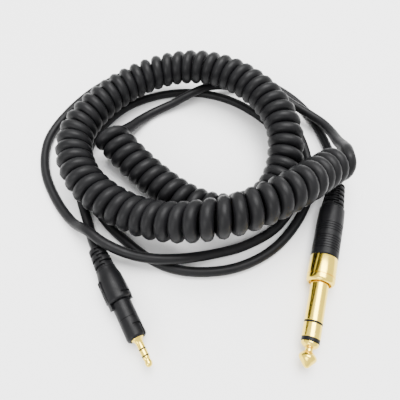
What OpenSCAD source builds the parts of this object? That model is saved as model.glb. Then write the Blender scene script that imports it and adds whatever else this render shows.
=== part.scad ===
// Coiled audio cable lying in loops: a locking 2.5 mm plug on one end, and on
// the other a 3.5 mm plug that carries a screw-on 6.35 mm adapter.

/* [Cord] */
// Outside diameter of the cord
cord_d = 4; // [3:0.1:4.2]
// Outside diameter of the curly stretch
coil_d = 15.6; // [13:0.1:15.8]
// Gap between the cord and the bores it runs through
cord_gap = 0.05; // [0.02:0.01:0.1]

/* [Left connector] */
// Diameter of the left boot where the cord comes out
left_boot_d = 6.4; // [6:0.1:7.4]
// Length of the left boot
left_boot_l = 9.5; // [9:0.5:13]
// Diameter of the left grip at its front end
left_grip_d = 9.3; // [8.4:0.1:10.2]
// Length of the left grip
left_grip_l = 13.7; // [12:0.1:18]
// Diameter of the locking sleeve
lock_d = 7; // [6.6:0.1:8]
// Length of the locking sleeve in front of the grip
lock_l = 13.6; // [11:0.1:18]
// Diameter of the small plug
small_plug_d = 2.5; // [2.4:0.05:3.2]

/* [Right connector] */
// Diameter of the right boot where the cord comes out
right_boot_d = 7.2; // [6.2:0.1:8.4]
// Length of the right boot
right_boot_l = 12; // [11:0.5:15]
// Diameter of the right barrel
barrel_d = 10.2; // [9:0.1:10.2]
// Length of the right barrel
barrel_l = 22.2; // [18:0.1:26]
// Diameter of the thread behind the headphone plug
thread_d = 6.1; // [5.6:0.1:6.6]
// Length of the thread
thread_l = 5.6; // [4.5:0.1:7]
// Diameter of the headphone plug
mid_plug_d = 3.5; // [3.2:0.05:3.8]
// Length of the headphone plug in front of its shoulder
mid_plug_l = 14; // [12.5:0.1:15]

/* [Adapter] */
// Diameter of the big plug on the adapter
big_plug_d = 6.35; // [6.2:0.05:6.6]
// Length of the big plug in front of the collar
big_plug_l = 29.3; // [28:0.1:34]
// Diameter of the adapter's collar
collar_d = 10.2; // [9.4:0.1:10.2]
// Length of the adapter's collar
collar_l = 10.3; // [9.8:0.1:12]
// Gap between the screwed adapter and the barrel's end
seat_gap = 0.1; // [0.1:0.05:0.3]
// Radial play between the two threads
thread_gap = 0.1; // [0.05:0.01:0.2]
// Radial play between the headphone plug and the adapter's springs
spring_gap = 0.05; // [0.03:0.01:0.08]

/* [Hidden] */
$fn = 64;

// Materials
jacket_black = [0.10, 0.10, 0.11];
moulded_black = [0.14, 0.14, 0.15];
insulator_black = [0.06, 0.06, 0.06];
plug_gold = [0.86, 0.68, 0.30];
spring_bronze = [0.75, 0.52, 0.28];
guide_white = [0.85, 0.84, 0.80];

// Where the connectors lie: the centre of each boot's rear face, and the way
// the connector points, turned from +X towards +Y
left_at = [-38, -34.5, left_grip_d / 2];
left_heading = 300;
right_at = [60, -6, barrel_d / 2];
right_heading = 251.5;

// Route of the curly stretch, from its inner end to its outer end
coil_route = [
    [-35.6, 13.3, 12.8], [-26, 3.5, 9.6], [-15.5, -6, 7.8], [-4.5, -14.5, 7.8],
    [7.5, -19.5, 7.8], [19, -19.2, 7.8], [29.3, -13.4, 7.8], [35.6, -4.2, 9],
    [38.6, 7, 12], [38.3, 19, 15], [34, 31.2, 16.2], [26.5, 42, 16.2],
    [15.5, 51, 16.2], [2, 55.6, 16], [-12, 56.4, 14.2], [-25.5, 52, 12.8],
    [-37.5, 43, 12.2], [-46.8, 31, 12.2], [-52.2, 17, 12.2], [-51, 4.5, 12.2],
    [-44.4, -8, 12.2], [-33.5, -17.7, 12.2], [-21, -24.5, 13], [-7.5, -29, 17.2],
    [5, -30.3, 21.6], [17, -28.3, 23.4], [28.5, -23.6, 24.2], [39, -17, 23],
    [49.3, -8.2, 18.4], [58.6, -0.8, 15]
];

// Route of the left lead between its boot and the coil's outer end
left_route = [
    [-40.5, -30, 3.6], [-43.5, -23, 2], [-49, -10, 2], [-54.5, 6, 2],
    [-57, 22, 2], [-52.8, 37.5, 2], [-40.8, 52.5, 2], [-23.5, 62.5, 2],
    [-3.5, 66.8, 2], [15.5, 65.4, 2], [31.3, 58.3, 3.2], [41, 47.3, 6.4],
    [47.8, 39.8, 6.6], [54.5, 33.5, 6.6], [61.5, 26.5, 6], [66.6, 18.8, 4.2],
    [69, 12.5, 3], [69, 7, 3.6], [66.8, 2, 6]
];

// Route of the right lead between the coil's inner end and the right boot
right_route = [
    [-37, 21, 6.8], [-36, 27, 4.4], [-31.5, 33, 2.4], [-21.5, 39.5, 2],
    [-11.5, 43.8, 3.8], [-2.5, 48, 6.2], [5.5, 52.5, 6.4], [13.5, 56.2, 3.8],
    [22.8, 56.4, 2], [33.2, 50.5, 2], [42.8, 41, 2], [49.3, 25, 2],
    [51.2, 8, 2], [49.2, -7, 2], [41.5, -22, 2], [30, -34, 2],
    [16.5, -40.8, 2], [2.5, -42.7, 2], [-9, -41.2, 2], [-18.5, -36.8, 2],
    [-27.5, -30, 2], [-36.5, -21.5, 2], [-44, -10, 2], [-48.6, 4, 2],
    [-49.3, 18, 2], [-44, 32, 2], [-33.5, 44, 2], [-17.5, 51.5, 2],
    [-0.5, 53, 2], [16.5, 48, 2], [31.5, 36.5, 2], [42, 21, 2],
    [45.5, 4, 2], [42, -11, 2], [33, -24, 2], [19.5, -32, 2],
    [6.5, -36, 3.2], [-4.5, -38.7, 6], [-15.5, -39, 6.6], [-25.5, -37, 6.8],
    [-34.2, -33.6, 8.8], [-41.2, -28.6, 8.6], [-49.5, -22.5, 4], [-59.5, -10.5, 2],
    [-67.5, 5, 2], [-69.5, 22, 2], [-63.5, 39, 2], [-51.5, 56, 2],
    [-34.5, 68.5, 2], [-11.5, 74.5, 2], [11.5, 72.5, 2], [31.5, 63.8, 2],
    [47.2, 51, 2], [55.8, 38, 2], [60.5, 22.5, 2], [62.3, 9, 2.2],
    [61.5, 0, 3.8]
];

// Sizes inside the cord
cord_r = cord_d / 2;
bore_r = cord_r + cord_gap;
helix_r = (coil_d - cord_d) / 2;
lead_sides = 8;
coil_sides = 12;
lead_out = 2.5;
coil_start_turn = -60;
coil_end_turn = -55;

// Left connector, measured along its axis from the boot's rear face
left_grip_z = left_boot_l;
left_lock_z = left_grip_z + left_grip_l;
left_front_z = left_lock_z + lock_l;
left_spigot_l = 3.2;
left_cord_end = left_grip_z + 2;
left_plug_l = 10.1;
left_flange_l = 1.8;
left_flange_in = 1.2;
left_flange_r = 2.2;
left_shoulder_z = left_front_z - left_flange_in + left_flange_l;
left_tip_z = left_shoulder_z + left_plug_l;
left_rear_z = left_lock_z - left_spigot_l;

// Right connector, measured the same way
right_barrel_z = right_boot_l;
right_front_z = right_barrel_z + barrel_l;
right_cord_end = right_barrel_z + 3;
right_spigot_l = 6;
right_nose_z = right_front_z + thread_l;
right_shoulder_l = 0.4;
right_shoulder_z = right_nose_z + right_shoulder_l;
right_tip_z = right_shoulder_z + mid_plug_l;
right_rear_z = right_front_z - right_spigot_l;
ferrule_bore_r = thread_d / 2 - 0.75;

// Adapter, measured the same way as it sits screwed on
collar_z = right_front_z + seat_gap;
collar_front_z = collar_z + collar_l;
big_tip_z = collar_front_z + big_plug_l;
guide_z = right_shoulder_z + 0.3;
guide_l = 1;
guide_play = 0.05;
insert_z = guide_z + guide_l + 0.3;
socket_end = right_tip_z + 1;

// A three-pole plug: [radius, tip length, front gap, ring length, stem radius,
// inner insulator radius, ring tube radius, outer insulator radius, rear gap]
small_plug = [small_plug_d / 2, 3.5, 0.5, 1.9, 0.35, 0.55, 0.75, 0.95, 0.5];
mid_plug = [mid_plug_d / 2, 4, 0.6, 2.6, 0.45, 0.75, 1.05, 1.35, 0.6];
big_plug = [
    big_plug_d / 2, 8.3, 1.3, 4.8, 0.95, 1.45,
    mid_plug_d / 2 + 0.25, mid_plug_d / 2 + 0.7, 0.6
];

// Stack of solder discs behind a plug: radii of the tip, inner insulator,
// ring and outer insulator discs
disc_radii = [0.6, 0.8, 1.2, 1.4];
disc_t = 0.6;
core_r = 0.2;

function ring_front(plug, tip_z) = tip_z - plug[1] - plug[2];
function ring_back(plug, tip_z) = ring_front(plug, tip_z) - plug[3];
function sleeve_front(plug, tip_z) = ring_back(plug, tip_z) - plug[8];

// Vectors for the swept tubes
function unit(v) = v / norm(v);
function tangent(p, i) =
    let (last = len(p) - 1)
    unit(p[min(i + 1, last)] - p[max(i - 1, 0)]);
function side_of(t) = unit(cross(t, [0, 0, 1]));
function up_of(t) = cross(side_of(t), t);
function around(c, t, r, a) = c + r * (cos(a) * side_of(t) + sin(a) * up_of(t));
function heading(a) = [cos(a), sin(a), 0];

// First and last points of the leads, taken from what they join
coil_last = len(coil_route) - 1;
inner_dir = unit(coil_route[0] - coil_route[1]);
outer_dir = unit(coil_route[coil_last] - coil_route[coil_last - 1]);
inner_join = around(coil_route[0], inner_dir, helix_r, coil_start_turn);
outer_join = around(coil_route[coil_last], outer_dir, helix_r, coil_end_turn);
left_lead = concat(
    [left_at + left_cord_end * heading(left_heading), left_at],
    left_route,
    [outer_join + lead_out * outer_dir, outer_join]);
right_lead = concat(
    [inner_join, inner_join + lead_out * inner_dir],
    right_route,
    [right_at, right_at + right_cord_end * heading(right_heading)]);

// A tube swept along a list of points, with a flat face at each end
module swept_tube(path, r, sides) {
    rings = len(path);
    points = [
        for (i = [0:rings - 1], k = [0:sides - 1])
            around(path[i], tangent(path, i), r, (k + 0.5) * 360 / sides)
    ];
    walls = [
        for (i = [0:rings - 2], k = [0:sides - 1])
            let (a = i * sides + k, b = i * sides + (k + 1) % sides)
            [a, a + sides, b + sides, b]
    ];
    start_cap = [[for (k = [0:sides - 1]) k]];
    end_cap = [[for (k = [sides - 1:-1:0]) (rings - 1) * sides + k]];
    polyhedron(concat(walls, start_cap, end_cap) == [] ? [] : points,
        concat(walls, start_cap, end_cap), convexity = 10);
}

// Turns a piece drawn along +Z to lie along a connector's axis
module lie(at, angle) {
    translate(at)
        rotate([0, 0, angle])
            rotate([0, 90, 0])
                children();
}

module on_left() {
    lie(left_at, left_heading) children();
}

module on_right() {
    lie(right_at, right_heading) children();
}

// A tube from z0 to z1 with an outside and an inside radius
module tube(r_out, r_in, z0, z1) {
    rotate_extrude()
        translate([r_in, z0])
            square([r_out - r_in, z1 - z0]);
}

module rod(r, z0, z1) {
    translate([0, 0, z0])
        cylinder(r = r, h = z1 - z0);
}

// Two opposite windows cut into a boot, one row of them
module boot_windows(r, depth, z, width, span) {
    for (a = [0, 180])
        rotate([0, 0, a - span / 2])
            rotate_extrude(angle = span)
                translate([r - depth, z])
                    square([depth + 2, width]);
}

// A ribbed strain relief: rows of windows, each a quarter turn from the last
module boot(r_back, r_front, length, bore, rows, first_z, last_z, turn) {
    window_w = 0.85;
    window_depth = 1;
    edge = 0.5;
    step = (last_z - first_z) / (rows - 1);
    difference() {
        rotate_extrude()
            polygon([
                [bore, 0], [r_back - edge, 0], [r_back, edge],
                [r_front, length], [bore, length]
            ]);
        for (i = [0:rows - 1])
            rotate([0, 0, turn + 90 * (i % 2)])
                boot_windows(
                    r_back + (r_front - r_back) * (first_z + i * step) / length,
                    window_depth, first_z + i * step - window_w / 2, window_w, 112);
    }
}

// Contact pieces of a three-pole plug, drawn along +Z
module plug_tip(plug, tip_z, rear_z) {
    r = plug[0];
    base_z = tip_z - plug[1];
    neck_z = base_z + 0.30 * plug[1];
    ball_z = base_z + 0.58 * plug[1];
    nose_r = 0.16 * r;
    color(plug_gold)
        rotate_extrude()
            polygon([
                [0, rear_z], [plug[4], rear_z], [plug[4], base_z],
                [0.86 * r, base_z], [0.86 * r, base_z + 0.06 * plug[1]],
                [0.56 * r, neck_z - 0.04 * plug[1]], [0.56 * r, neck_z],
                [0.88 * r, ball_z - 0.08 * plug[1]], [0.88 * r, ball_z + 0.04 * plug[1]],
                [nose_r, tip_z - 0.03 * plug[1]], [0, tip_z]
            ]);
}

module plug_ring(plug, tip_z, rear_z) {
    front = ring_front(plug, tip_z);
    back = ring_back(plug, tip_z);
    color(plug_gold)
        union() {
            tube(plug[0], plug[5], back, front);
            tube(plug[6], plug[5], rear_z, back + 0.2);
        }
}

module inner_insulator(plug, tip_z, rear_z) {
    front = ring_front(plug, tip_z);
    color(insulator_black)
        union() {
            tube(plug[0], plug[4], front, front + plug[2]);
            tube(plug[5], plug[4], rear_z, front + 0.1);
        }
}

module outer_insulator(plug, tip_z, rear_z) {
    front = sleeve_front(plug, tip_z);
    color(insulator_black)
        union() {
            tube(plug[0], plug[6], front, front + plug[8]);
            tube(plug[7], plug[6], rear_z, front + 0.1);
        }
}

// The solder disc at the rear end of a contact or an insulator: the discs lie
// one behind the other, and place counts them from the plug's own sleeve
function disc_rear(rear_z, place) = rear_z - (place + 1) * disc_t;

module solder_disc(r_out, r_in, rear_z, place) {
    tube(r_out, r_in, disc_rear(rear_z, place), disc_rear(rear_z, place - 1));
}

// Three insulated cores, from the cord's cut end to the solder discs
module core_wires(start_z, rear_z) {
    ring_r = (disc_radii[1] + disc_radii[2]) / 2 + 0.05;
    sleeve_r = disc_radii[3] + core_r + 0.05;
    color("white")
        rod(core_r, start_z, rear_z - 4 * disc_t);
    color("red")
        rotate([0, 0, 60])
            translate([ring_r, 0, 0])
                rod(core_r, start_z, rear_z - 2 * disc_t);
    color("peru")
        rotate([0, 0, 210])
            translate([sleeve_r, 0, 0])
                rod(core_r, start_z, rear_z);
}

// Cord

module cord_left_lead() {
    color(jacket_black)
        swept_tube(left_lead, cord_r, lead_sides);
}

module cord_coil() {
    color(jacket_black)
        swept_tube(coil_route, coil_d / 2, coil_sides);
}

module cord_right_lead() {
    color(jacket_black)
        swept_tube(right_lead, cord_r, lead_sides);
}

// Left connector

module left_boot() {
    color(moulded_black)
        on_left()
            boot(left_boot_d / 2, left_boot_d / 2 + 0.5, left_boot_l, bore_r,
                6, 1.2, left_boot_l - 1, 135);
}

module left_grip() {
    wall = 1.6;
    back_r = left_boot_d / 2 + 0.5;
    front_r = left_grip_d / 2;
    flare = 4;
    key_rise = 0.4;
    key_l = 8.5;
    key_turn = 228;
    key_span = 36;
    cavity_r = front_r - wall - 0.3;
    color(moulded_black)
        on_left()
            difference() {
                union() {
                    rotate_extrude()
                        polygon([
                            [0, left_grip_z], [back_r, left_grip_z],
                            [back_r + 0.1, left_grip_z + 1],
                            [front_r - 0.25, left_grip_z + flare],
                            [front_r, left_lock_z - 1], [front_r, left_lock_z - 0.4],
                            [front_r - 0.4, left_lock_z], [0, left_lock_z]
                        ]);
                    rotate([0, 0, key_turn])
                        rotate_extrude(angle = key_span)
                            translate([front_r - 1, left_lock_z - key_l - 0.9])
                                square([1 + key_rise, key_l]);
                }
                rod(bore_r, left_grip_z - 1, left_cord_end);
                rod(cavity_r, left_cord_end, left_rear_z);
                rod(lock_d / 2 - 0.5, left_rear_z, left_lock_z + 1);
            }
}

module left_lock_sleeve() {
    r = lock_d / 2;
    groove_z = left_front_z - 6.9;
    slot_w = 2.2;
    slot_l = 4.6;
    slot_depth = 0.7;
    slot_turn = 127;
    slot_span = 66;
    groove_depth = 0.3;
    color(moulded_black)
        on_left()
            difference() {
                rotate_extrude()
                    polygon([
                        [1.7, left_rear_z], [r - 0.5, left_rear_z],
                        [r - 0.5, left_lock_z], [r, left_lock_z],
                        [r, groove_z], [r - groove_depth, groove_z + 0.1],
                        [r - groove_depth, groove_z + 0.3], [r, groove_z + 0.4],
                        [r, left_front_z - 0.6], [r - 0.6, left_front_z], [1.7, left_front_z]
                    ]);
                rod(left_flange_r, left_rear_z - 1, left_rear_z + 1);
                rod(left_flange_r, left_front_z - left_flange_in, left_front_z + 1);
                rod(left_flange_r + 0.5, left_front_z - 0.6, left_front_z + 1);
                // Bayonet slot: a channel from the front end, then a turn
                rotate([0, 0, slot_turn])
                    translate([r - slot_depth, -slot_w / 2, left_front_z - slot_l])
                        cube([slot_depth + 1, slot_w, slot_l + 1]);
                rotate([0, 0, slot_turn - slot_span / 3])
                    rotate_extrude(angle = slot_span)
                        translate([r - slot_depth, left_front_z - slot_l - 0.8])
                            square([slot_depth + 1, 1.8]);
            }
}

module left_plug_sleeve() {
    front_z = left_front_z - left_flange_in;
    color(plug_gold)
        on_left()
            rotate_extrude()
                polygon([
                    [small_plug[7], left_rear_z], [left_flange_r, left_rear_z],
                    [left_flange_r, left_rear_z + 1], [1.7, left_rear_z + 1],
                    [1.7, front_z], [left_flange_r, front_z],
                    [left_flange_r, left_shoulder_z - 0.3],
                    [left_flange_r - 0.3, left_shoulder_z],
                    [small_plug[0], left_shoulder_z],
                    [small_plug[0], sleeve_front(small_plug, left_tip_z)],
                    [small_plug[7], sleeve_front(small_plug, left_tip_z)]
                ]);
}

module left_outer_insulator() {
    on_left()
        outer_insulator(small_plug, left_tip_z, disc_rear(left_rear_z, 0));
    color(insulator_black)
        on_left()
            solder_disc(disc_radii[3], small_plug[6], left_rear_z, 0);
}

module left_plug_ring() {
    on_left()
        plug_ring(small_plug, left_tip_z, disc_rear(left_rear_z, 1));
    color(plug_gold)
        on_left()
            solder_disc(disc_radii[2], small_plug[5], left_rear_z, 1);
}

module left_inner_insulator() {
    on_left()
        inner_insulator(small_plug, left_tip_z, disc_rear(left_rear_z, 2));
    color(insulator_black)
        on_left()
            solder_disc(disc_radii[1], small_plug[4], left_rear_z, 2);
}

module left_plug_tip() {
    on_left()
        plug_tip(small_plug, left_tip_z, disc_rear(left_rear_z, 3));
    color(plug_gold)
        on_left()
            solder_disc(disc_radii[0], 0, left_rear_z, 3);
}

module left_core_wires() {
    on_left()
        core_wires(left_cord_end, left_rear_z);
}

// Right connector

module right_boot() {
    color(moulded_black)
        on_right()
            boot(right_boot_d / 2, barrel_d / 2 - 0.6, right_boot_l, bore_r,
                9, 1.1, right_boot_l - 1, 135);
}

// Fine grooves round the barrel, cut from z0 to z1
module grip_grooves(r, z0, z1) {
    pitch = 0.75;
    groove_w = 0.35;
    groove_depth = 0.16;
    count = floor((z1 - z0) / pitch);
    for (i = [0:count - 1])
        tube(r + 1, r - groove_depth, z0 + i * pitch, z0 + i * pitch + groove_w);
}

module right_barrel() {
    r = barrel_d / 2;
    seam = 0.5;
    cavity_r = thread_d / 2 + 0.55;
    color(moulded_black)
        on_right()
            difference() {
                rotate_extrude()
                    polygon([
                        [bore_r, right_barrel_z], [r - 0.6, right_barrel_z],
                        [r - 0.2, right_barrel_z + seam], [r, right_barrel_z + 5],
                        [r, right_front_z - 0.3], [r - 0.3, right_front_z],
                        [bore_r, right_front_z]
                    ]);
                rod(cavity_r, right_cord_end, right_front_z + 1);
                grip_grooves(r, right_barrel_z + 6.4, right_barrel_z + 9.5);
                grip_grooves(r, right_barrel_z + 12, right_barrel_z + 17.3);
            }
}

// Ridges of a thread, as rings
module thread_rings(r_root, r_crest, z0, z1) {
    pitch = 0.7;
    count = floor((z1 - z0) / pitch);
    for (i = [0:count - 1])
        rotate_extrude()
            polygon([
                [r_root, z0 + i * pitch],
                [r_crest, z0 + (i + 0.5) * pitch],
                [r_root, z0 + (i + 1) * pitch]
            ]);
}

module right_thread_ferrule() {
    crest = thread_d / 2;
    root = crest - 0.35;
    spigot_r = crest + 0.55;
    color(plug_gold)
        on_right()
            difference() {
                union() {
                    rod(spigot_r, right_rear_z, right_front_z);
                    rod(root + 0.01, right_front_z - 1, right_nose_z);
                    thread_rings(root, crest, right_front_z + 0.4, right_nose_z - 0.3);
                }
                rod(ferrule_bore_r, right_rear_z - 1, right_nose_z + 1);
            }
}

module right_plug_sleeve() {
    tube_r = ferrule_bore_r;
    head_r = tube_r + 0.7;
    color(plug_gold)
        on_right()
            rotate_extrude()
                polygon([
                    [mid_plug[7], right_rear_z - 1], [head_r, right_rear_z - 1],
                    [head_r, right_rear_z], [tube_r, right_rear_z],
                    [tube_r, right_nose_z], [tube_r + 0.3, right_nose_z],
                    [tube_r + 0.3, right_shoulder_z - 0.1],
                    [tube_r + 0.2, right_shoulder_z],
                    [mid_plug[0], right_shoulder_z],
                    [mid_plug[0], sleeve_front(mid_plug, right_tip_z)],
                    [mid_plug[7], sleeve_front(mid_plug, right_tip_z)]
                ]);
}

module right_outer_insulator() {
    rear = right_rear_z - 1;
    on_right()
        outer_insulator(mid_plug, right_tip_z, disc_rear(rear, 0));
    color(insulator_black)
        on_right()
            solder_disc(disc_radii[3], mid_plug[6], rear, 0);
}

module right_plug_ring() {
    rear = right_rear_z - 1;
    on_right()
        plug_ring(mid_plug, right_tip_z, disc_rear(rear, 1));
    color(plug_gold)
        on_right()
            solder_disc(disc_radii[2], mid_plug[5], rear, 1);
}

module right_inner_insulator() {
    rear = right_rear_z - 1;
    on_right()
        inner_insulator(mid_plug, right_tip_z, disc_rear(rear, 2));
    color(insulator_black)
        on_right()
            solder_disc(disc_radii[1], mid_plug[4], rear, 2);
}

module right_plug_tip() {
    rear = right_rear_z - 1;
    on_right()
        plug_tip(mid_plug, right_tip_z, disc_rear(rear, 3));
    color(plug_gold)
        on_right()
            solder_disc(disc_radii[0], 0, rear, 3);
}

module right_core_wires() {
    on_right()
        core_wires(right_cord_end, right_rear_z - 1);
}

// Adapter

thread_bore_r = thread_d / 2 + thread_gap;
insert_r = max(thread_bore_r, big_plug_d / 2) + 0.425;
socket_r = mid_plug_d / 2 + 0.25;
bush_r = socket_r + 0.7;

module adapter_guide_ring() {
    color(guide_white)
        on_right()
            tube(thread_bore_r - guide_play, mid_plug_d / 2 + 0.1, guide_z, guide_z + guide_l);
}

module adapter_collar() {
    r = collar_d / 2;
    rim_z = collar_front_z - 2.3;
    color(plug_gold)
        on_right()
            difference() {
                rotate_extrude()
                    polygon([
                        [thread_bore_r, collar_z], [r - 0.3, collar_z], [r, collar_z + 0.3],
                        [r, rim_z], [r - 0.25, rim_z + 0.25], [r - 0.25, rim_z + 0.7],
                        [r, rim_z + 0.95], [r, collar_front_z - 0.6],
                        [r - 0.6, collar_front_z], [thread_bore_r, collar_front_z]
                    ]);
                rod(insert_r, insert_z, collar_front_z + 1);
                thread_rings(thread_bore_r - 0.01, thread_bore_r + 0.3,
                    collar_z + 0.6, guide_z - 0.3);
            }
}

module adapter_plug_sleeve() {
    r = big_plug[0];
    front = sleeve_front(big_plug, big_tip_z);
    color(plug_gold)
        on_right()
            difference() {
                union() {
                    rod(insert_r, insert_z, collar_front_z);
                    rod(r, collar_front_z - 1, front);
                }
                rod(bush_r, insert_z - 1, socket_end + 1);
                rod(big_plug[7], socket_end, front + 1);
            }
}

module adapter_outer_insulator() {
    front = sleeve_front(big_plug, big_tip_z);
    color(insulator_black)
        on_right()
            union() {
                tube(bush_r, socket_r, insert_z, socket_end + 1);
                tube(big_plug[7], big_plug[6], socket_end + 0.5, front + 0.1);
                tube(big_plug[0], big_plug[6], front, front + big_plug[8]);
            }
}

module adapter_plug_ring() {
    on_right()
        plug_ring(big_plug, big_tip_z, socket_end + 1);
}

module adapter_inner_insulator() {
    on_right()
        inner_insulator(big_plug, big_tip_z, socket_end + 0.6);
}

module adapter_plug_tip() {
    on_right()
        plug_tip(big_plug, big_tip_z, socket_end + 0.3);
}

// A contact strip inside the socket, along the headphone plug
module contact_strip(z0, z1, turn) {
    inner = mid_plug_d / 2 + spring_gap;
    rotate([0, 0, turn - 20])
        rotate_extrude(angle = 40)
            translate([inner, z0])
                square([socket_r - inner, z1 - z0]);
}

module adapter_ring_spring() {
    color(spring_bronze)
        on_right()
            contact_strip(ring_back(mid_plug, right_tip_z) + 0.6, socket_end + 1, 0);
}

module adapter_tip_spring() {
    color(spring_bronze)
        on_right()
            union() {
                contact_strip(right_tip_z - 2.2, socket_end + 0.3, 180);
                rotate([0, 0, 160])
                    rotate_extrude(angle = 40)
                        translate([0, socket_end])
                            square([socket_r, 0.3]);
            }
}

cord_left_lead();
cord_coil();
cord_right_lead();
left_boot();
left_grip();
left_lock_sleeve();
left_plug_sleeve();
left_outer_insulator();
left_plug_ring();
left_inner_insulator();
left_plug_tip();
left_core_wires();
right_boot();
right_barrel();
right_thread_ferrule();
right_plug_sleeve();
right_outer_insulator();
right_plug_ring();
right_inner_insulator();
right_plug_tip();
right_core_wires();
adapter_guide_ring();
adapter_collar();
adapter_plug_sleeve();
adapter_outer_insulator();
adapter_plug_ring();
adapter_inner_insulator();
adapter_plug_tip();
adapter_ring_spring();
adapter_tip_spring();
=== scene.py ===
import math

import bpy
from bpy.props import FloatProperty, FloatVectorProperty, IntProperty, PointerProperty
from bpy.types import Operator, Panel, PropertyGroup
from mathutils import Matrix, Vector


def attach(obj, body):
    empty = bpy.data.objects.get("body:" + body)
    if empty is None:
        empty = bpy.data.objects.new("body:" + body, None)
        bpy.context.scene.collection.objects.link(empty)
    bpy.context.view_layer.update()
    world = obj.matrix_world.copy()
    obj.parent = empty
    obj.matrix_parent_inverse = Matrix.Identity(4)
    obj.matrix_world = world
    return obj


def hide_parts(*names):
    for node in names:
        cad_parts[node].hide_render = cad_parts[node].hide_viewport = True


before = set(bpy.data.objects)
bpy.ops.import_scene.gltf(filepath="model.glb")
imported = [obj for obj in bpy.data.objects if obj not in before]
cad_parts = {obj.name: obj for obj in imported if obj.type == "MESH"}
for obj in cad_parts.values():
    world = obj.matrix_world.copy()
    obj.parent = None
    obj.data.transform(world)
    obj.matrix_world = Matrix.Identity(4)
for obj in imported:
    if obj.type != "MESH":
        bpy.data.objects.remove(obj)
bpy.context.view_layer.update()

bl_info = {
    "name": "Coiled audio cable",
    "version": (1, 0, 0),
    "blender": (4, 5, 0),
    "location": "View3D > Sidebar > Cable",
    "description": "Models a coiled audio cable, its two plugs and the screw-on adapter",
    "category": "Add Mesh",
}

MM = 0.001

# Where the connectors lie: the centre of each boot's rear face, in millimetres,
# and the heading of the plug, turned from +X towards +Y
LEFT_AT = (-38, -34.5, 4.65)
LEFT_HEADING = 300
RIGHT_AT = (60, -6, 5.1)
RIGHT_HEADING = 251.5

# Distances along each connector from the boot's rear face, in millimetres
LEFT_BOOT_END = 9.5
LEFT_GRIP_END = 23.2
LEFT_SLEEVE_START = 20
LEFT_SLEEVE_END = 37.6
LEFT_FLANGE_START = 35.65
LEFT_TIP = 47.5
RIGHT_BOOT_END = 12
RIGHT_BARREL_END = 34.2
COLLAR_START = 34.3
COLLAR_END = 44.6
COLLAR_RECESS = 43.6
SOCKET_START = 41.8
SOCKET_END = 55.2
BIG_TIP = 73.9

# The radius of the barrel and the collar, in millimetres, and the share of a plug's
# radius that its insulators have
COLLAR_RADIUS = 5.1
INSULATOR_SHARE = 0.975

# Angles round the coil at its inner and outer end, in degrees from its side, and the
# length over which the cord thins outside the coil, in millimetres
INNER_ANGLE = -90
OUTER_ANGLE = 60
THINNING = 40

# Routes in millimetres: the middle of the coil from its inner to its outer end, the
# left lead from its boot to the coil, and the right lead from the coil to its boot
COIL_ROUTE = [
    (-37.6, 15.4, 13.2), (-26, 3.5, 9.6), (-15.5, -6, 7.8), (-4.5, -14.5, 7.8),
    (7.5, -19.5, 7.8), (19, -19.2, 7.8), (29.3, -13.4, 7.8), (35.6, -4.2, 9),
    (38.6, 7, 12), (38.3, 19, 15), (34, 31.2, 16.2), (26.5, 42, 16.2),
    (15.5, 51, 16.2), (2, 55.6, 16), (-12, 56.4, 14.2), (-25.5, 52, 12.8),
    (-37.5, 43, 12.2), (-46.8, 31, 12.2), (-52.2, 17, 12.2), (-51, 4.5, 12.2),
    (-44.4, -8, 12.2), (-33.5, -17.7, 12.2), (-21, -24.5, 13), (-7.5, -29, 17.2),
    (5, -30.3, 21.6), (17, -28.3, 23.4), (28.5, -23.6, 24.2), (39, -17, 23),
    (49.3, -8.2, 18.4), (58.6, -0.8, 15),
]
LEFT_ROUTE = [
    (-40.5, -30, 3.6), (-43.5, -23, 2), (-49, -10, 2), (-54.5, 6, 2),
    (-57, 22, 2), (-52.8, 37.5, 2), (-40.8, 52.5, 2), (-23.5, 62.5, 2),
    (-3.5, 66.8, 2), (15.5, 65.4, 2), (31.3, 58.3, 3.2), (41, 47.3, 6.4),
    (47.8, 39.8, 6.6), (54.6, 33.4, 6.7), (59.4, 27.2, 7.4), (61.6, 20.4, 9),
    (62, 13, 12), (62, 7, 15.8), (61.5, 2.6, 18.6),
]
RIGHT_ROUTE = [
    (-35.2, 21.5, 7.2), (-31, 27, 5.2), (-27, 33, 3.4), (-21, 38.8, 2.6),
    (-11.5, 43.8, 3.8), (-2.5, 48, 6.2), (5.5, 52.5, 6.4), (13.5, 56.2, 3.8),
    (22.8, 56.4, 2), (33.2, 50.5, 2), (42.8, 41, 2), (49.3, 25, 2),
    (51.2, 8, 2), (49.2, -7, 2), (41.5, -22, 2), (30, -34, 2),
    (16.5, -40.8, 2), (2.5, -42.7, 2), (-9, -41.2, 2), (-18.5, -36.8, 2),
    (-27.5, -30, 2), (-36.5, -21.5, 2), (-44, -10, 2), (-48.6, 4, 2),
    (-49.3, 18, 2), (-44, 32, 2), (-33.5, 44, 2), (-17.5, 51.5, 2),
    (-0.5, 53, 2), (16.5, 48, 2), (31.5, 36.5, 2), (42, 21, 2),
    (45.5, 4, 2), (42, -11, 2), (33, -24, 2), (19.5, -32, 2),
    (6.5, -36, 3.2), (-4.5, -38.7, 6), (-15.5, -39, 6.6), (-25.5, -37, 6.8),
    (-34.2, -33.6, 8.8), (-41.2, -28.6, 8.6), (-49.5, -22.5, 4), (-59.5, -10.5, 2),
    (-67.5, 5, 2), (-69.5, 22, 2), (-63.5, 39, 2), (-51.5, 56, 2),
    (-34.5, 68.5, 2), (-11.5, 74.5, 2), (11.5, 72.5, 2), (31.5, 63.8, 2),
    (47.2, 51, 2), (55.8, 38, 2), (60.5, 22.5, 2), (62.3, 9, 2.2),
    (61.5, 0, 3.8),
]


# Sizes and colours that a user may change


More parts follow.
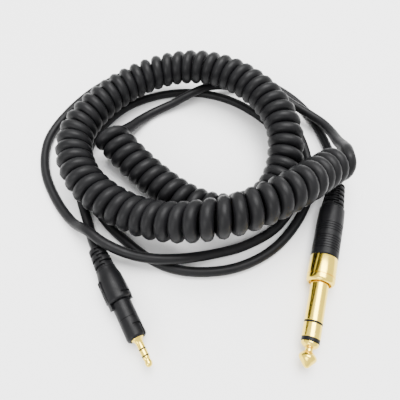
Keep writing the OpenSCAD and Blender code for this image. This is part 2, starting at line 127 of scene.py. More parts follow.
class CordSettings(PropertyGroup):
    diameter: FloatProperty(
        name="Cord diameter", description="Outside diameter of the cord",
        default=0.004, min=0.002, max=0.006, unit="LENGTH", subtype="DISTANCE",
    )
    coil_diameter: FloatProperty(
        name="Coil diameter", description="Outside diameter of the curly stretch",
        default=0.0156, min=0.01, max=0.02, unit="LENGTH", subtype="DISTANCE",
    )
    coil_cord: FloatProperty(
        name="Cord in the coil", description="Diameter of the cord where it is curly",
        default=0.0051, min=0.002, max=0.008, unit="LENGTH", subtype="DISTANCE",
    )
    turns: IntProperty(
        name="Turns", description="Number of turns in the curly stretch",
        default=74, min=20, max=90,
    )
    colour: FloatVectorProperty(
        name="Jacket colour", description="Colour of the cord's jacket",
        default=(0.0045, 0.0045, 0.005), size=3, min=0, max=1, subtype="COLOR",
    )


class ConnectorSettings(PropertyGroup):
    moulding_colour: FloatVectorProperty(
        name="Moulding colour", description="Colour of the grips and strain reliefs",
        default=(0.0035, 0.0035, 0.004), size=3, min=0, max=1, subtype="COLOR",
    )
    gold_colour: FloatVectorProperty(
        name="Gold colour", description="Colour of the plated metal",
        default=(0.86, 0.63, 0.08), size=3, min=0, max=1, subtype="COLOR",
    )


class StageSettings(PropertyGroup):
    floor_colour: FloatVectorProperty(
        name="Floor colour", description="Colour of the floor",
        default=(0.93, 0.93, 0.93), size=3, min=0, max=1, subtype="COLOR",
    )
    key_power: FloatProperty(
        name="Key light", description="Power of the overhead light",
        default=26, min=0, max=100, unit="POWER",
    )


# Modelling helpers


def deselect():
    """Leaves edit mode and selects nothing."""
    if bpy.context.object and bpy.context.object.mode != "OBJECT":
        bpy.ops.object.mode_set(mode="OBJECT")
    bpy.ops.object.select_all(action="DESELECT")


def lie(at, heading):
    """The place of a connector that is modelled standing on its rear face."""
    place = Matrix.Translation(Vector(at) * MM)
    return place @ Matrix.Rotation(math.radians(heading), 4, "Z") @ Matrix.Rotation(
        math.radians(90), 4, "Y")


def turned(name, outline):
    """Turns an outline of (radius, height) points in millimetres, ring by ring."""
    around, smooth = 96, 32
    least, merge = 0.004, 0.008
    rings = [(max(r, least), z) for r, z in outline]
    deselect()
    bpy.ops.mesh.primitive_circle_add(
        vertices=around, radius=rings[0][0] * MM, fill_type="NOTHING",
        location=(0, 0, 0))
    piece = bpy.context.object
    piece.name = name
    bpy.ops.object.mode_set(mode="EDIT")
    bpy.ops.mesh.select_all(action="SELECT")
    bpy.ops.transform.translate(value=(0, 0, rings[0][1] * MM))
    for (r0, z0), (r1, z1) in zip(rings, rings[1:]):
        bpy.ops.mesh.extrude_region_move(
            TRANSFORM_OT_translate={"value": (0, 0, (z1 - z0) * MM)})
        scale = r1 / r0
        bpy.ops.transform.resize(
            value=(scale, scale, 1), center_override=(0, 0, z1 * MM))
    bpy.ops.mesh.select_all(action="SELECT")
    bpy.ops.mesh.remove_doubles(threshold=merge * MM)
    bpy.ops.mesh.normals_make_consistent(inside=False)
    bpy.ops.object.mode_set(mode="OBJECT")
    bpy.ops.object.shade_smooth_by_angle(angle=math.radians(smooth))
    return piece


def arc_block(r_in, r_out, z0, z1, start, span, steps=24):
    """A block bent round the axis, from the start angle through the span."""
    merge = 0.002
    deselect()
    bpy.ops.mesh.primitive_plane_add(size=1, location=(0, 0, 0))
    block = bpy.context.object
    bpy.ops.object.mode_set(mode="EDIT")
    bpy.ops.mesh.select_all(action="SELECT")
    bpy.ops.transform.rotate(
        value=math.radians(90), orient_axis="X", center_override=(0, 0, 0))
    bpy.ops.transform.resize(
        value=((r_out - r_in) * MM, 1, (z1 - z0) * MM), center_override=(0, 0, 0))
    bpy.ops.transform.translate(
        value=((r_in + r_out) / 2 * MM, 0, (z0 + z1) / 2 * MM))
    # Spin turns the negative way about the axis
    bpy.ops.mesh.spin(
        steps=steps, angle=-math.radians(span), center=(0, 0, 0), axis=(0, 0, 1))
    bpy.ops.mesh.select_all(action="SELECT")
    bpy.ops.mesh.remove_doubles(threshold=merge * MM)
    bpy.ops.mesh.normals_make_consistent(inside=False)
    bpy.ops.object.mode_set(mode="OBJECT")
    block.data.transform(Matrix.Rotation(math.radians(start), 4, "Z"))
    return block


def joined(pieces):
    """Several pieces as one object."""
    deselect()
    for piece in pieces:
        piece.select_set(True)
    bpy.context.view_layer.objects.active = pieces[0]
    if len(pieces) > 1:
        bpy.ops.object.join()
    return bpy.context.view_layer.objects.active


def apply_modifier(piece, modifier):
    """Applies one of a piece's modifiers and leaves the piece selected."""
    deselect()
    piece.select_set(True)
    bpy.context.view_layer.objects.active = piece
    bpy.ops.object.modifier_apply(modifier=modifier.name)


def combine(piece, tools, operation):
    """Cuts the tools out of the piece, or adds them to it."""
    tool = joined(tools)
    change = piece.modifiers.new("shape", "BOOLEAN")
    change.object = tool
    change.operation = operation
    change.solver = "EXACT"
    change.use_self = operation == "DIFFERENCE"
    apply_modifier(piece, change)
    bpy.data.objects.remove(tool)


def soften(piece, width):
    """Rounds the sharp edges of a finished shape."""
    sharp, smooth = 40, 38
    edge = piece.modifiers.new("edges", "BEVEL")
    edge.width = width * MM
    edge.segments = 2
    edge.limit_method = "ANGLE"
    edge.angle_limit = math.radians(sharp)
    apply_modifier(piece, edge)
    bpy.ops.object.shade_smooth_by_angle(angle=math.radians(smooth))


def coat(piece, material):
    """Gives a piece one material, by the material's name."""
    piece.data.materials.clear()
    piece.data.materials.append(bpy.data.materials[material])


def finish_piece(piece, place, body, material, node):
    """Puts a piece where its connector lies, instead of a packed one."""
    piece.data.transform(place)
    coat(piece, material)
    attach(piece, body)
    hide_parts(node)


def refinish(node, material):
    """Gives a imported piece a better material."""
    coat(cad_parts[node], material)


# Materials


def group_socket(group, name, direction, default=None):
    """Adds a named number to a node group, going in or coming out."""
    socket = group.interface.new_socket(
        name=name, in_out=direction, socket_type="NodeSocketFloat")
    if default is not None:
        socket.default_value = default


def grain_group():
    """Fine uneven surface of a moulded or extruded piece."""
    group = bpy.data.node_groups.get("Fine grain")
    if group:
        return group
    group = bpy.data.node_groups.new("Fine grain", "ShaderNodeTree")
    group_socket(group, "Scale", "INPUT", 2000)
    group_socket(group, "Detail", "INPUT", 4)
    group_socket(group, "Low", "INPUT", 0)
    group_socket(group, "High", "INPUT", 1)
    group_socket(group, "Value", "OUTPUT")
    nodes, links = group.nodes, group.links
    start = nodes.new("NodeGroupInput")
    end = nodes.new("NodeGroupOutput")
    place = nodes.new("ShaderNodeTexCoord")
    noise = nodes.new("ShaderNodeTexNoise")
    spread = nodes.new("ShaderNodeMapRange")
    spread.inputs["From Min"].default_value = 0.3
    spread.inputs["From Max"].default_value = 0.7
    links.new(place.outputs["Object"], noise.inputs["Vector"])
    links.new(start.outputs["Scale"], noise.inputs["Scale"])
    links.new(start.outputs["Detail"], noise.inputs["Detail"])
    links.new(noise.outputs["Fac"], spread.inputs["Value"])
    links.new(start.outputs["Low"], spread.inputs["To Min"])
    links.new(start.outputs["High"], spread.inputs["To Max"])
    links.new(spread.outputs["Result"], end.inputs["Value"])
    return group


def dust_group():
    """Light dust that settles in patches on faces that look up."""
    group = bpy.data.node_groups.get("Settled dust")
    if group:
        return group
    group = bpy.data.node_groups.new("Settled dust", "ShaderNodeTree")
    group_socket(group, "Amount", "INPUT", 0.1)
    group_socket(group, "Mask", "OUTPUT")
    nodes, links = group.nodes, group.links
    start = nodes.new("NodeGroupInput")
    end = nodes.new("NodeGroupOutput")
    shape = nodes.new("ShaderNodeNewGeometry")
    split = nodes.new("ShaderNodeSeparateXYZ")
    facing = nodes.new("ShaderNodeMapRange")
    facing.inputs["From Min"].default_value = 0.2
    facing.inputs["From Max"].default_value = 1.0
    patches = nodes.new("ShaderNodeGroup")
    patches.node_tree = grain_group()
    patches.inputs["Scale"].default_value = 260
    patches.inputs["Detail"].default_value = 8
    both = nodes.new("ShaderNodeMath")
    both.operation = "MULTIPLY"
    amount = nodes.new("ShaderNodeMath")
    amount.operation = "MULTIPLY"
    links.new(shape.outputs["Normal"], split.inputs[0])
    links.new(split.outputs["Z"], facing.inputs["Value"])
    links.new(facing.outputs["Result"], both.inputs[0])
    links.new(patches.outputs["Value"], both.inputs[1])
    links.new(both.outputs[0], amount.inputs[0])
    links.new(start.outputs["Amount"], amount.inputs[1])
    links.new(amount.outputs[0], end.inputs["Mask"])
    return group


def use_group(material, group, **values):
    """Places a node group in a material with its own values."""
    node = material.node_tree.nodes.new("ShaderNodeGroup")
    node.node_tree = group
    for name, value in values.items():
        node.inputs[name].default_value = value
    return node


def new_material(name):
    """A new material and its shader."""
    material = bpy.data.materials.new(name)
    material.use_nodes = True
    return material, material.node_tree.nodes["Principled BSDF"]


def uneven_shade(material, colour, dark, light, **grain):
    """The output of a mix of a colour's darker and lighter shade in a grain."""
    tone = use_group(material, grain_group(), **grain)
    shades = material.node_tree.nodes.new("ShaderNodeMix")
    shades.data_type = "RGBA"
    shades.inputs["A"].default_value = (*[c * dark for c in colour], 1)
    shades.inputs["B"].default_value = (*[min(1, c * light) for c in colour], 1)
    material.node_tree.links.new(tone.outputs["Value"], shades.inputs["Factor"])
    return shades.outputs["Result"]


def raise_surface(material, height, strength, distance):
    """Lets an output raise the surface by up to a distance in millimetres."""
    bump = material.node_tree.nodes.new("ShaderNodeBump")
    bump.inputs["Strength"].default_value = strength
    bump.inputs["Distance"].default_value = distance * MM
    links = material.node_tree.links
    links.new(height, bump.inputs["Height"])
    links.new(bump.outputs["Normal"],
              material.node_tree.nodes["Principled BSDF"].inputs["Normal"])


def moulded(name, colour, roughness, grain, depth, dust):
    """Black rubber or plastic with grain, uneven gloss and a little dust."""
    material, shader = new_material(name)
    nodes, links = material.node_tree.nodes, material.node_tree.links
    shader.inputs["Specular IOR Level"].default_value = 0.12
    gloss = use_group(material, grain_group(), Scale=420, Detail=6,
                      Low=roughness - 0.07, High=roughness + 0.07)
    links.new(gloss.outputs["Value"], shader.inputs["Roughness"])
    shade = uneven_shade(material, colour, 0.85, 1.25, Scale=150, Detail=3)
    settled = use_group(material, dust_group(), Amount=dust)
    dusty = nodes.new("ShaderNodeMix")
    dusty.data_type = "RGBA"
    dusty.inputs["B"].default_value = (0.34, 0.33, 0.32, 1)
    links.new(settled.outputs["Mask"], dusty.inputs["Factor"])
    links.new(shade, dusty.inputs["A"])
    links.new(dusty.outputs["Result"], shader.inputs["Base Color"])
    fine = use_group(material, grain_group(), Scale=grain, Detail=3)
    raise_surface(material, fine.outputs["Value"], strength=0.5, distance=depth)


def plated(name, colour, roughness, heading):
    """Polished plating with faint lathe rings round the connector's axis."""
    material, shader = new_material(name)
    nodes, links = material.node_tree.nodes, material.node_tree.links
    shader.inputs["Metallic"].default_value = 1
    shade = uneven_shade(material, colour, 0.94, 1.05, Scale=240, Detail=4)
    links.new(shade, shader.inputs["Base Color"])
    gloss = use_group(material, grain_group(), Scale=700, Detail=5,
                      Low=roughness - 0.04, High=roughness + 0.05)
    links.new(gloss.outputs["Value"], shader.inputs["Roughness"])
    place = nodes.new("ShaderNodeTexCoord")
    turn = nodes.new("ShaderNodeMapping")
    turn.inputs["Rotation"].default_value = (0, 0, -math.radians(heading))
    along = nodes.new("ShaderNodeMapping")
    along.inputs["Scale"].default_value = (1, 0, 0)
    rings = nodes.new("ShaderNodeTexNoise")
    rings.inputs["Scale"].default_value = 9000
    rings.inputs["Detail"].default_value = 2
    links.new(place.outputs["Object"], turn.inputs["Vector"])
    links.new(turn.outputs["Vector"], along.inputs["Vector"])
    links.new(along.outputs["Vector"], rings.inputs["Vector"])
    raise_surface(material, rings.outputs["Fac"], strength=0.35, distance=0.004)


class CABLE_OT_materials(Operator):
    """Makes the materials of the cable"""

    bl_idname = "cable.materials"
    bl_label = "Materials"

    def execute(self, context):
        jacket = tuple(context.scene.cable_cord.colour)
        moulding = tuple(context.scene.cable_connectors.moulding_colour)
        gold = tuple(context.scene.cable_connectors.gold_colour)
        for name, colour, roughness, grain, depth, dust in (
                ("cord jacket", jacket, 0.42, 5200, 0.02, 0.005),
                ("soft moulding", moulding, 0.46, 4200, 0.02, 0.004),
                ("hard moulding", moulding, 0.4, 6500, 0.012, 0.004),
                ("insulating ring", (0.004, 0.004, 0.004), 0.45, 8000, 0.004, 0.002),
                ("guide plastic", (0.6, 0.58, 0.52), 0.45, 3000, 0.01, 0.02),
                ("core insulation", (0.45, 0.08, 0.05), 0.45, 3000, 0.01, 0.02)):
            moulded(name, colour, roughness, grain, depth, dust)
        for name, colour, roughness, heading in (
                ("gold plating left", gold, 0.2, LEFT_HEADING),
                ("gold plating right", gold, 0.2, RIGHT_HEADING),
                ("spring bronze", (0.62, 0.36, 0.16), 0.3, RIGHT_HEADING)):
            plated(name, colour, roughness, heading)
        for node in ("left_core_wires", "right_core_wires"):
            refinish(node, "core insulation")
        return {"FINISHED"}


# The cord


def curve_points(points, steps):
    """A smooth line through points that may lie at uneven distances."""
    line = []
    ends = [2 * points[0] - points[1], *points, 2 * points[-1] - points[-2]]
    for a, b, c, d in zip(ends, ends[1:], ends[2:], ends[3:]):
        before, span, after = ((q - p).length ** 0.5 for p, q in ((a, b), (b, c), (c, d)))
        out = ((b - a) / before - (c - a) / (before + span) + (c - b) / span) * span
        into = ((c - b) / span - (d - b) / (span + after) + (d - c) / after) * span
        for i in range(steps):
            t = i / steps
            line.append(
                (2 * t ** 3 - 3 * t ** 2 + 1) * b + (t ** 3 - 2 * t ** 2 + t) * out
                + (3 * t ** 2 - 2 * t ** 3) * c + (t ** 3 - t ** 2) * into)
    line.append(points[-1])
    return line


def evenly_spaced(line, spacing):
    """The same line with points an even distance apart."""
    out, left = [line[0]], spacing
    for a, b in zip(line, line[1:]):
        step = (b - a).length
        while step >= left > 0:
            a = a + (b - a) * (left / step)
            out.append(a)
            step -= left
            left = spacing
        left -= step
    if (out[-1] - line[-1]).length > spacing / 3:
        out.append(line[-1])
    else:
        out[-1] = line[-1]
    return out


def helix(middle, radius, turns, first_angle, last_angle, per_turn):
    """A left-handed helix round a line of evenly spaced points."""
    first = math.radians(first_angle)
    sweep = turns * 2 * math.pi + math.radians(last_angle) - first
    count = round(turns * per_turn)
    out = []
    for i in range(count + 1):
        place = i / count * (len(middle) - 1)
        k = min(int(place), len(middle) - 2)
        point = middle[k].lerp(middle[k + 1], place - k)
        ahead = middle[min(k + 3, len(middle) - 1)] - middle[max(k - 2, 0)]
        ahead.normalize()
        side = ahead.cross(Vector((0, 0, 1))).normalized()
        up = side.cross(ahead)
        angle = first + i / count * sweep
        out.append(point + radius * (math.cos(angle) * side + math.sin(angle) * up))
    return out


def thinned(line, start, thick, thin):
    """The cord's radius along a line that leads away from the end of the coil."""
    radii, gone = [], 0
    for a, b in zip([start, *line], line):
        gone += (b - a).length
        share = min(gone / (THINNING * MM), 1)
        share = share * share * (3 - 2 * share)
        radii.append(thick + (thin - thick) * share)
    return radii


def cord_exit(at, heading):
    """Where the cord leaves a boot, and where it ends inside the boot."""
    in_boot = 6
    point = Vector(at) * MM
    way = Vector((math.cos(math.radians(heading)), math.sin(math.radians(heading)), 0))
    return point, point + way * in_boot * MM


def in_metres(route):
    """A route's points as vectors in metres."""
    return [Vector(point) * MM for point in route]


class CABLE_OT_cord(Operator):
    """Adds the whole cord: the left lead, the curly stretch and the right lead"""

    bl_idname = "cable.cord"
    bl_label = "Cord"

    def execute(self, context):
        sizes = context.scene.cable_cord
        thick, thin = sizes.coil_cord / 2, sizes.diameter / 2
        coil_steps, lead_steps, per_turn = 12, 10, 20

        middle = evenly_spaced(curve_points(in_metres(COIL_ROUTE), coil_steps), 1 * MM)
        coil = helix(middle, (sizes.coil_diameter - sizes.coil_cord) / 2, sizes.turns,
                     INNER_ANGLE, OUTER_ANGLE, per_turn)
        coil.reverse()

        # The leads' curves run on through a few of the coil's points, so that they
        # meet it in its own direction, and are then cut back to its ends
        shared = 3
        spare = (shared - 1) * lead_steps + 1
        left, left_inside = cord_exit(LEFT_AT, LEFT_HEADING)
        right, right_inside = cord_exit(RIGHT_AT, RIGHT_HEADING)
        left_lead = curve_points(
            [left_inside, left, *in_metres(LEFT_ROUTE), *coil[:shared]],
            lead_steps)[:-spare]
        right_lead = curve_points(
            [*coil[-shared:], *in_metres(RIGHT_ROUTE), right, right_inside],
            lead_steps)[spare:]
        radii = (thinned(left_lead[::-1], coil[0], thick, thin)[::-1]
                 + [thick] * len(coil)
                 + thinned(right_lead, right_lead[0], thick, thin))
        line = left_lead + coil + right_lead
        for point, radius in zip(line, radii):
            point.z = max(point.z, radius)

        data = bpy.data.curves.new("cord", "CURVE")
        data.dimensions = "3D"
        data.bevel_depth = thin
        data.bevel_resolution = 3
        data.use_fill_caps = True
        spline = data.splines.new("POLY")
        spline.points.add(len(line) - 1)
        for point, place, radius in zip(spline.points, line, radii):
            point.co = (*place, 1)
            point.radius = radius / thin
        piece = bpy.data.objects.new("cord", data)
        context.scene.collection.objects.link(piece)
        coat(piece, "cord jacket")
        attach(piece, "cable")
        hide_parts("cord_left_lead", "cord_coil", "cord_right_lead")
        return {"FINISHED"}


# Pieces that both connectors have


def cord_bore(context):
    """The radius of the hole for the cord, in millimetres."""
    clearance = 0.05
    return context.scene.cable_cord.diameter / 2 / MM + clearance


def strain_relief(name, r_rear, r_front, length, bore, rows, first):
    """A tapered boot with rows of two windows, each row a quarter turn on."""
    rounding, chamfer = 0.5, 0.15
    width, depth, span, start = 0.98, 1.0, 116, 135
    beyond = 1
    last = length - 1
    boot = turned(name, [
        (bore, 0), (r_rear - rounding, 0), (r_rear - chamfer, chamfer),
        (r_rear, rounding), (r_front, length), (bore, length), (bore, 0)])
    cutters = []
    for i in range(rows):
        z = first + (last - first) * i / (rows - 1)
        r = r_rear + (r_front - r_rear) * z / length
        for half in (0, 180):
            cutters.append(arc_block(
                r - depth, r + beyond, z - width / 2, z + width / 2,
                start + 90 * (i % 2) + half - span / 2, span))
    combine(boot, cutters, "DIFFERENCE")
    soften(boot, 0.07)
    return boot


def blunt_nose(r, tip, length):
    """The outline of a short tip with a gentle waist and a blunt end."""
    base = tip - length
    return [
        (0.96 * r, base), (0.96 * r, base + 0.12 * length),
        (0.84 * r, base + 0.24 * length), (0.80 * r, base + 0.32 * length),
        (0.84 * r, base + 0.40 * length), (0.94 * r, base + 0.54 * length),
        (0.96 * r, base + 0.64 * length), (0.90 * r, base + 0.78 * length),
        (0.72 * r, base + 0.91 * length), (0.45 * r, tip - 0.02 * length),
        (0.2 * r, tip), (0, tip)]


def pointed_nose(r, tip, length):
    """The outline of a long tip with a narrow neck, a ball and a pointed end."""
    base = tip - length
    neck, ball = base + 0.34 * length, base + 0.60 * length
    return [
        (0.88 * r, base), (0.93 * r, base + 0.02 * length),
        (0.93 * r, base + 0.09 * length), (0.84 * r, base + 0.15 * length),
        (0.62 * r, base + 0.22 * length), (0.42 * r, base + 0.25 * length),
        (0.40 * r, neck - 0.04 * length), (0.42 * r, neck + 0.02 * length),
        (0.60 * r, neck + 0.08 * length), (0.78 * r, neck + 0.14 * length),
        (0.90 * r, ball - 0.05 * length), (0.93 * r, ball),
        (0.91 * r, ball + 0.05 * length), (0.80 * r, ball + 0.12 * length),
        (0.62 * r, ball + 0.20 * length), (0.42 * r, ball + 0.29 * length),
        (0.27 * r, ball + 0.355 * length), (0.16 * r, tip - 0.015 * length),
        (0.06 * r, tip), (0, tip)]


def plug_contacts(side, place, body, gold, r, tip, lengths, radii, rears, nose):
    """The tip, the ring and the front insulator of a three-pole plug.

    Returns where the plug's sleeve ends. lengths holds the tip, the gap behind it, the
    ring and the gap behind that. radii holds the tip's stem, the inner tube and the
    ring's tube. rears holds where the ring, the inner tube and the stem begin.
    """
    tip_length, front_gap, ring_length, rear_gap = lengths
    stem, inner, ring_tube = radii
    ring_rear, inner_rear, tip_rear = rears
    base = tip - tip_length
    ring_front = base - front_gap
    ring_back = ring_front - ring_length
    edge = 0.06 if r > 1.5 else 0.03
    sunk = INSULATOR_SHARE * r
    point = turned(side + "_tip_contact", [
        (0, tip_rear), (stem, tip_rear), (stem, base), *nose])
    finish_piece(point, place, body, gold, side + "_plug_tip")
    ring = turned(side + "_ring_contact", [
        (inner, ring_rear), (ring_tube, ring_rear), (ring_tube, ring_back),
        (r - edge, ring_back), (r, ring_back + edge), (r, ring_front - edge),
        (r - edge, ring_front), (inner, ring_front), (inner, ring_rear)])
    finish_piece(ring, place, body, gold, side + "_plug_ring")
    insulator = turned(side + "_front_insulator", [
        (stem, inner_rear), (inner, inner_rear), (inner, ring_front),
        (sunk, ring_front), (sunk, base), (stem, base), (stem, inner_rear)])
    finish_piece(insulator, place, body, "insulating ring",
                 side + "_inner_insulator")
    return ring_back - rear_gap


# The left connector


def side_key(end):
    """The raised key on the side of the left grip, with its row of fine teeth."""
    pitch, gap, count = 0.72, 0.3, 11
    first = end - 9.1
    key = arc_block(4.0, 4.86, end - 9.5, end - 0.9, 230, 32)
    gaps = []
    for i in range(count):
        z = first + i * pitch
        gaps.append(arc_block(4.66, 6, z, z + gap, 226, 40, steps=8))
    combine(key, gaps, "DIFFERENCE")
    return key


def left_grip(place, bore):
    """The left grip, with its key, its two lips and the notch behind them."""
    start, end = LEFT_BOOT_END, LEFT_GRIP_END
    grip = turned("left_grip_shell", [
        (bore, start), (3.55, start), (3.72, start + 0.15), (3.8, start + 1),
        (4.1, start + 2.4), (4.4, start + 4), (4.55, start + 7), (4.65, end - 2.4),
        (4.65, end - 0.9), (4.55, end - 0.45), (4.3, end - 0.12), (4.05, end),
        (3.1, end), (3.1, end - 1.2), (bore, end - 1.2), (bore, start)])
    combine(grip, [side_key(end)], "UNION")
    for reach, first, span in ((1.9, 228, 32), (0.7, 84, 22)):
        lip = arc_block(3.54, 4.5, end - 1.2, end + reach, first, span)
        combine(grip, [lip], "UNION")
    notch = arc_block(4.1, 6, end - 2.4, end - 1.75, 96, 60)
    combine(grip, [notch], "DIFFERENCE")
    soften(grip, 0.1)
    finish_piece(grip, place, "cable", "hard moulding", "left_grip")


def left_sleeve(place):
    """The locking sleeve, with its groove and its hooked bayonet slot."""
    start, end, step = LEFT_SLEEVE_START, LEFT_SLEEVE_END, LEFT_GRIP_END + 0.3
    groove = end - 7.7
    sleeve = turned("left_lock_sleeve_shell", [
        (1.72, start), (3.0, start), (3.0, step), (3.4, step), (3.5, step + 0.15),
        (3.5, groove), (3.34, groove + 0.1), (3.34, groove + 0.3), (3.5, groove + 0.4),
        (3.5, end - 1), (3.4, end - 0.5), (3.1, end - 0.12), (2.85, end),
        (2.65, end - 0.1), (2.55, end - 0.4), (2.5, end - 1.2), (2.25, end - 1.2),
        (2.25, LEFT_FLANGE_START), (1.72, LEFT_FLANGE_START), (1.72, start)])
    entry = arc_block(2.8, 5, end - 4.4, end + 1, 110, 12)
    hook = arc_block(2.8, 5, end - 4.8, end - 4, 110, 58)
    for cutter in (entry, hook):
        combine(sleeve, [cutter], "DIFFERENCE")
    soften(sleeve, 0.1)
    finish_piece(sleeve, place, "cable", "hard moulding",
                 "left_lock_sleeve")


def left_plug(place):
    """The small plug: its three contacts, their insulators and the flange."""
    gold, r = "gold plating left", 1.25
    stem, inner, outer = 0.35, 0.75, 0.95
    tip_length = 3.5
    rear, end = LEFT_SLEEVE_START, LEFT_SLEEVE_END
    front = plug_contacts(
        "left", place, "cable", gold, r, LEFT_TIP, lengths=(tip_length, 0.5, 1.9, 0.5),
        radii=(stem, 0.55, inner), rears=(rear, rear, rear),
        nose=blunt_nose(r, LEFT_TIP, tip_length))
    sunk = INSULATOR_SHARE * r
    insulator = turned("left_rear_insulator", [
        (inner, rear), (outer, rear), (outer, front), (sunk, front),
        (sunk, front + 0.5), (inner, front + 0.5), (inner, rear)])
    finish_piece(insulator, place, "cable", "insulating ring",
                 "left_outer_insulator")
    sleeve = turned("left_sleeve_contact", [
        (outer, rear), (1.7, rear), (1.7, LEFT_FLANGE_START), (2.2, LEFT_FLANGE_START),
        (2.2, end - 0.2), (2.1, end + 0.1), (1.75, end + 0.4), (1.45, end + 0.9),
        (r, end + 1.5), (r, front - 0.03), (r - 0.03, front), (outer, front),
        (outer, rear)])
    finish_piece(sleeve, place, "cable", gold, "left_plug_sleeve")


class CABLE_OT_left_connector(Operator):
    """Adds the left boot, grip, locking sleeve and small plug"""

    bl_idname = "cable.left_connector"
    bl_label = "Left connector"

    def execute(self, context):
        place = lie(LEFT_AT, LEFT_HEADING)
        bore = cord_bore(context)
        boot = strain_relief("left_strain_relief", 3.2, 3.7, LEFT_BOOT_END, bore,
                             rows=6, first=1.2)
        finish_piece(boot, place, "cable", "soft moulding", "left_boot")
        left_grip(place, bore)
        left_sleeve(place)
        left_plug(place)
        return {"FINISHED"}


# The right connector


def groove_rows(r, start, count):
    """The outline of a band of fine grooves."""
    pitch, width, depth = 1.05, 0.45, 0.22
    lip, slope = 0.06, 0.03
    wall = 0.08
    rows = []
    for i in range(count):
        z = start + i * pitch
        rows += [(r, z), (r - lip, z + slope), (r - depth, z + wall),
                 (r - depth, z + width - wall), (r - lip, z + width - slope),
                 (r, z + width)]
    return rows


def right_barrel(place, bore):
    """The barrel, with its two bands of fine grooves."""
    start, end, r = RIGHT_BOOT_END, RIGHT_BARREL_END, COLLAR_RADIUS
    socket = 3.6
    barrel = turned("right_barrel_shell", [
        (bore, start), (4.35, start), (4.5, start + 0.15), (4.9, start + 0.5),
        (4.98, start + 2.5), (r, start + 5.8),
        *groove_rows(r, start + 8.2, 4), *groove_rows(r, start + 14, 6),
        (r, end - 0.6), (r - 0.1, end - 0.25), (r - 0.35, end), (socket, end),
        (socket, start + 3), (bore, start + 3), (bore, start)])
    finish_piece(barrel, place, "cable", "hard moulding",
                 "right_barrel")


class CABLE_OT_right_connector(Operator):
    """Adds the right boot and barrel, with the plug that the adapter covers"""

    bl_idname = "cable.right_connector"
    bl_label = "Right connector"

    def execute(self, context):
        place = lie(RIGHT_AT, RIGHT_HEADING)
        bore = cord_bore(context)
        boot = strain_relief("right_strain_relief", 3.6, 4.5, RIGHT_BOOT_END, bore,
                             rows=9, first=1.1)
        finish_piece(boot, place, "cable", "soft moulding", "right_boot")
        right_barrel(place, bore)
        for node in ("right_thread_ferrule", "right_plug_sleeve", "right_plug_ring",
                     "right_plug_tip"):
            refinish(node, "gold plating right")
        for node in ("right_outer_insulator", "right_inner_insulator"):
            refinish(node, "insulating ring")
        return {"FINISHED"}


# The adapter


def adapter_collar(place):
    """The collar, with its groove, its rounded front and the recess in it."""
    r, start, end = COLLAR_RADIUS, COLLAR_START, COLLAR_END
    groove = end - 2.9
    collar = turned("adapter_collar_shell", [
        (3.15, start), (r - 0.3, start), (r - 0.08, start + 0.1), (r, start + 0.3),
        (r, groove), (r - 0.12, groove + 0.05), (r - 0.3, groove + 0.16),
        (r - 0.3, groove + 0.4), (r - 0.12, groove + 0.51), (r, groove + 0.56),
        (r, end - 1.3), (r - 0.1, end - 0.8), (r - 0.35, end - 0.35),
        (r - 0.7, end - 0.08), (r - 1, end), (r - 1.15, end - 0.1),
        (r - 1.25, end - 0.4), (r - 1.25, COLLAR_RECESS), (3.6, COLLAR_RECESS),
        (3.6, SOCKET_START), (3.15, SOCKET_START), (3.15, start)])
    finish_piece(collar, place, "adapter", "gold plating right",
                 "adapter_collar")


def adapter_plug(place):
    """The large plug: its three contacts and its front insulator."""
    gold, r = "gold plating right", 3.175
    tip_length = 8.3
    inner_rear = SOCKET_END + 1
    front = plug_contacts(
        "adapter", place, "adapter", gold, r, BIG_TIP,
        lengths=(tip_length, 1.3, 4.8, 0.75), radii=(0.95, 1.45, 2),
        rears=(inner_rear, SOCKET_END + 0.6, SOCKET_END + 0.3),
        nose=pointed_nose(r, BIG_TIP, tip_length))
    shaft = turned("adapter_sleeve_contact", [
        (2.7, SOCKET_START), (3.6, SOCKET_START), (3.6, COLLAR_RECESS),
        (r, COLLAR_RECESS), (r, front - 0.06), (r - 0.06, front), (2.45, front),
        (2.45, inner_rear), (2.7, inner_rear), (2.7, SOCKET_START)])
    finish_piece(shaft, place, "adapter", gold, "adapter_plug_sleeve")


class CABLE_OT_adapter(Operator):
    """Adds the adapter's collar and large plug"""

    bl_idname = "cable.adapter"
    bl_label = "Adapter"

    def execute(self, context):
        place = lie(RIGHT_AT, RIGHT_HEADING)
        adapter_collar(place)
        adapter_plug(place)
        refinish("adapter_outer_insulator", "insulating ring")
        for node in ("adapter_ring_spring", "adapter_tip_spring"):
            refinish(node, "spring bronze")
        refinish("adapter_guide_ring", "guide plastic")
        return {"FINISHED"}


# The stage


def area_light(context, name, place, size, power):
    """A square light that looks at the middle of the cable."""
    light = bpy.data.lights.new(name, "AREA")
    light.size = size
    light.energy = power
    lamp = bpy.data.objects.new(name, light)
    lamp.location = place
    lamp.rotation_euler = (-Vector(place)).to_track_quat("-Z", "Y").to_euler()
    context.scene.collection.objects.link(lamp)


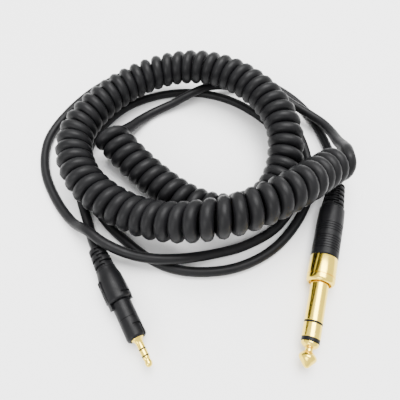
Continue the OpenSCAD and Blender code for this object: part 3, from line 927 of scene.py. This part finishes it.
class CABLE_OT_stage(Operator):
    """Adds the floor, the lights and the camera"""

    bl_idname = "cable.stage"
    bl_label = "Stage"

    def execute(self, context):
        settings = context.scene.cable_stage
        floor_size, sky_strength, fill_share = 6, 1.9, 0.25
        camera_at, camera_tilt, focal_length = (2, -86, 132), 30, 31.68

        deselect()
        bpy.ops.mesh.primitive_plane_add(size=floor_size, location=(0, 0, 0))
        floor = context.object
        floor.name = "floor"
        material, shader = new_material("pale floor")
        shader.inputs["Roughness"].default_value = 0.9
        shader.inputs["Specular IOR Level"].default_value = 0.1
        shader.inputs["Base Color"].default_value = (*settings.floor_colour, 1)
        floor.data.materials.append(material)

        world = bpy.data.worlds.new("studio")
        world.use_nodes = True
        sky = world.node_tree.nodes["Background"]
        sky.inputs["Color"].default_value = (1, 1, 1, 1)
        sky.inputs["Strength"].default_value = sky_strength
        context.scene.world = world
        area_light(context, "overhead", (0.1, 0.25, 0.9), 0.7, settings.key_power)
        area_light(context, "front fill", (-0.5, -0.7, 0.6), 0.5,
                   settings.key_power * fill_share)

        lens = bpy.data.cameras.new("camera")
        lens.sensor_width = 36
        lens.lens = focal_length
        lens.clip_start = 0.01
        camera = bpy.data.objects.new("camera", lens)
        camera.location = Vector(camera_at) * MM
        camera.rotation_euler = (math.radians(camera_tilt), 0, 0)
        context.scene.collection.objects.link(camera)
        context.scene.camera = camera
        return {"FINISHED"}


class CABLE_PT_panel(Panel):
    """Lists the sizes and pieces of the cable"""

    bl_idname = "CABLE_PT_panel"
    bl_label = "Coiled audio cable"
    bl_space_type = "VIEW_3D"
    bl_region_type = "UI"
    bl_category = "Cable"

    def draw(self, context):
        for settings in (context.scene.cable_cord, context.scene.cable_connectors,
                         context.scene.cable_stage):
            box = self.layout.box()
            for name in settings.__annotations__:
                box.prop(settings, name)
        for operator in OPERATORS:
            self.layout.operator(operator.bl_idname)


OPERATORS = (
    CABLE_OT_stage, CABLE_OT_materials, CABLE_OT_left_connector,
    CABLE_OT_right_connector, CABLE_OT_adapter, CABLE_OT_cord,
)
CLASSES = (CordSettings, ConnectorSettings, StageSettings, *OPERATORS, CABLE_PT_panel)


def register():
    for cls in CLASSES:
        bpy.utils.register_class(cls)
    bpy.types.Scene.cable_cord = PointerProperty(type=CordSettings)
    bpy.types.Scene.cable_connectors = PointerProperty(type=ConnectorSettings)
    bpy.types.Scene.cable_stage = PointerProperty(type=StageSettings)


def unregister():
    del bpy.types.Scene.cable_stage
    del bpy.types.Scene.cable_connectors
    del bpy.types.Scene.cable_cord
    for cls in reversed(CLASSES):
        bpy.utils.unregister_class(cls)


def main():
    register()
    bpy.ops.cable.stage()
    bpy.ops.cable.materials()
    bpy.ops.cable.left_connector()
    bpy.ops.cable.right_connector()
    bpy.ops.cable.adapter()
    bpy.ops.cable.cord()


if __name__ == "__main__":
    main()
